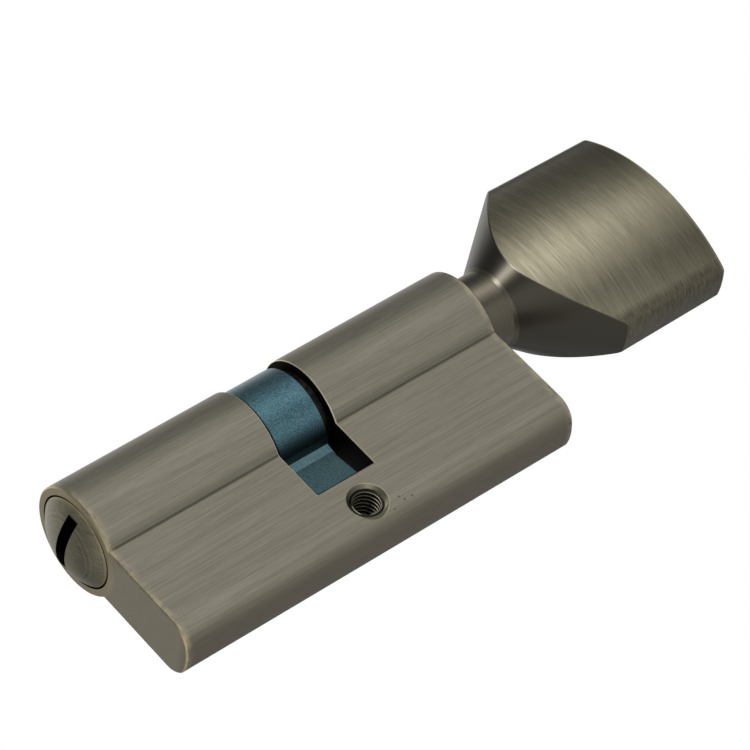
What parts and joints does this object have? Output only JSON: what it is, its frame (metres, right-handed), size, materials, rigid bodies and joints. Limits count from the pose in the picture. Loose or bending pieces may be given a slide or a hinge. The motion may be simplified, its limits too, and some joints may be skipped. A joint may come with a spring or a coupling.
{
  "type": "lock cylinder",
  "caption": "Euro-profile privacy lock cylinder with a coin-slot plug at one end, a flared thumb-turn knob at the other and a turning cam between them.",
  "frame": {"origin": "centre of the fixing hole, which is the middle of the housing's length and of its flange's thickness", "axes": "+X along the turning axis towards the knob, +Y along the fixing hole, +Z from the fixing hole up to the turning axis"},
  "size_m": [0.1108, 0.017, 0.0407],
  "materials": {
    "housing": "antique nickel-bronze plate, brushed along the length, brass showing at the edges",
    "coin_plug": "antique nickel-bronze plate with turning marks",
    "knob": "antique nickel-bronze plate, brushed across the grip faces",
    "cam": "sintered steel with a fine-grained blue-green finish",
    "plug_brass": "plain turned brass",
    "clip_steel": "dark spring steel",
    "grub_steel": "blackened steel"
  },
  "bodies": {
    "housing": {"housing": "housing"},
    "knob_set": {"knob": "knob", "knob_plug": "plug_brass", "knob_plug_clip": "clip_steel", "knob_grub_screw": "grub_steel"},
    "cam_set": {"cam": "cam"},
    "coin_set": {"coin_plug": "coin_plug", "coin_plug_clip": "clip_steel"}
  },
  "joints": [
    {"name": "knob_turn", "type": "hinge", "parent": "housing", "child": "knob_set", "pos_m": [0.045, 0, 0.02], "axis": [1, 0, 0], "continuous": true},
    {"name": "cam_turn", "type": "hinge", "parent": "housing", "child": "cam_set", "pos_m": [0, 0, 0.02], "axis": [1, 0, 0], "continuous": true},
    {"name": "coin_turn", "type": "hinge", "parent": "housing", "child": "coin_set", "pos_m": [-0.02, 0, 0.02], "axis": [1, 0, 0], "continuous": true}
  ],
  "couplings": [
    {"joint": "cam_turn", "follows": "knob_turn", "ratio": 1},
    {"joint": "coin_turn", "follows": "knob_turn", "ratio": 1}
  ]
}
